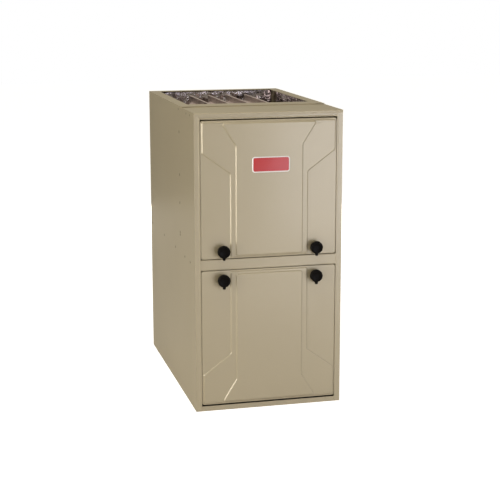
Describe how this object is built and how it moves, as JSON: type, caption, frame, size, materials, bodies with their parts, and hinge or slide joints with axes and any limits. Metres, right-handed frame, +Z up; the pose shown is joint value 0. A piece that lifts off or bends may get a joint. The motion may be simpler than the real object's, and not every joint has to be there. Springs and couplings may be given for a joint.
{
  "type": "forced air gas furnace",
  "caption": "Upright gas furnace cabinet with two stamped lift-off doors, quarter-turn knobs, open supply outlet on top, heat exchanger cells, burners, inducer and blower inside.",
  "frame": {"origin": "centre of the casing footprint, on the plane that the base closure panel stands on", "axes": "+Z up, -Y towards the front with the doors, +X to the right seen from the front"},
  "size_m": [0.4444, 0.7753, 0.889],
  "materials": {
    "painted_steel": "satin taupe-beige powder coat on sheet steel",
    "galvanised_steel": "zinc-coated sheet steel",
    "foil_insulation": "crinkled aluminium foil facing on glass fibre",
    "aluminised_steel": "aluminium-coated sheet steel, matt grey",
    "stainless_steel": "stainless steel",
    "fin_stock": "bare aluminium fins on tubes",
    "black_plastic": "moulded black plastic",
    "knob_plastic": "moulded black plastic, satin",
    "black_steel": "black iron gas pipe",
    "cast_aluminium": "die-cast aluminium",
    "ceramic": "ceramic insulator",
    "motor_steel": "dark painted motor shell",
    "white_plastic": "moulded white plastic",
    "grey_plastic": "extruded grey plastic pipe",
    "black_rubber": "silicone and rubber tube",
    "circuit_board": "glass-fibre circuit board",
    "transformer_core": "laminated transformer core",
    "wire_insulation": "taped bundle of wires",
    "door_insulation": "glass-fibre board with a scrim",
    "red_enamel": "enamelled blank nameplate",
    "zinc_plate": "zinc-plated latch pawl"
  },
  "bodies": {
    "casing": {"casing_wrap": "painted_steel", "top_front_plate": "painted_steel", "supply_front_strip": "painted_steel", "centre_rail": "painted_steel", "bottom_rail": "painted_steel", "base_panel": "galvanised_steel", "blower_deck": "galvanised_steel", "vestibule_panel": "galvanised_steel", "foil_liner_left": "foil_insulation", "foil_liner_right": "foil_insulation", "foil_liner_back": "foil_insulation", "heat_cell_1": "aluminised_steel", "heat_cell_2": "aluminised_steel", "heat_cell_3": "aluminised_steel", "heat_cell_4": "aluminised_steel", "secondary_coil": "fin_stock", "coupling_box": "aluminised_steel", "collector_box": "black_plastic", "burner_box": "galvanised_steel", "burner_rack": "aluminised_steel", "gas_manifold": "black_steel", "gas_valve_body": "cast_aluminium", "igniter": "ceramic", "flame_sensor": "ceramic", "rollout_switch": "black_plastic", "inducer_housing": "black_plastic", "inducer_motor": "motor_steel", "vent_pipe": "grey_plastic", "pressure_switch": "white_plastic", "pressure_tube": "black_rubber", "condensate_trap": "white_plastic", "drain_tube": "black_rubber", "blower_housing": "galvanised_steel", "blower_motor": "motor_steel", "motor_mount": "galvanised_steel", "control_box": "galvanised_steel", "control_board": "circuit_board", "transformer": "transformer_core", "door_switch_body": "black_plastic", "wiring_harness": "wire_insulation", "junction_box": "galvanised_steel"},
    "upper_door": {"upper_door_skin": "painted_steel", "upper_door_liner": "door_insulation", "nameplate": "red_enamel"},
    "lower_door": {"lower_door_skin": "painted_steel", "lower_door_liner": "door_insulation"},
    "blower_rotor": {"blower_wheel": "galvanised_steel", "blower_shaft": "stainless_steel"},
    "inducer_rotor": {"inducer_wheel": "stainless_steel", "inducer_fan": "white_plastic"},
    "gas_valve_lever": {"gas_valve_lever": "black_plastic"},
    "door_switch_plunger": {"door_switch_plunger": "white_plastic"},
    "upper_latch_left": {"upper_knob_left": "knob_plastic", "upper_pawl_left": "zinc_plate"},
    "upper_latch_right": {"upper_knob_right": "knob_plastic", "upper_pawl_right": "zinc_plate"},
    "lower_latch_left": {"lower_knob_left": "knob_plastic", "lower_pawl_left": "zinc_plate"},
    "lower_latch_right": {"lower_knob_right": "knob_plastic", "lower_pawl_right": "zinc_plate"}
  },
  "joints": [
    {"name": "upper_door_tilt", "type": "hinge", "parent": "casing", "child": "upper_door", "pos_m": [0, -0.36565, 0.859], "axis": [-1, 0, 0], "range_deg": [0, 35]},
    {"name": "lower_door_tilt", "type": "hinge", "parent": "casing", "child": "lower_door", "pos_m": [0, -0.37065, 0.025], "axis": [1, 0, 0], "range_deg": [0, 35]},
    {"name": "upper_latch_left_turn", "type": "hinge", "parent": "upper_door", "child": "upper_latch_left", "pos_m": [-0.14, -0.37465, 0.485], "axis": [0, -1, 0], "range_deg": [0, 90]},
    {"name": "upper_latch_right_turn", "type": "hinge", "parent": "upper_door", "child": "upper_latch_right", "pos_m": [0.14, -0.37465, 0.485], "axis": [0, 1, 0], "range_deg": [0, 90]},
    {"name": "lower_latch_left_turn", "type": "hinge", "parent": "lower_door", "child": "lower_latch_left", "pos_m": [-0.14, -0.37465, 0.399], "axis": [0, 1, 0], "range_deg": [0, 90]},
    {"name": "lower_latch_right_turn", "type": "hinge", "parent": "lower_door", "child": "lower_latch_right", "pos_m": [0.14, -0.37465, 0.399], "axis": [0, -1, 0], "range_deg": [0, 90]},
    {"name": "blower_spin", "type": "hinge", "parent": "casing", "child": "blower_rotor", "pos_m": [0, 0.06935, 0.205], "axis": [1, 0, 0], "continuous": true},
    {"name": "inducer_spin", "type": "hinge", "parent": "casing", "child": "inducer_rotor", "pos_m": [0.01, -0.25, 0.5405], "axis": [0, 1, 0], "continuous": true},
    {"name": "gas_lever_tilt", "type": "hinge", "parent": "casing", "child": "gas_valve_lever", "pos_m": [-0.17675, -0.29695, 0.757], "axis": [1, 0, 0], "range_deg": [0, 24]},
    {"name": "door_switch_press", "type": "slide", "parent": "casing", "child": "door_switch_plunger", "axis": [0, 1, 0], "range_m": [0, 0.004], "stiffness_N_per_m": 150}
  ]
}
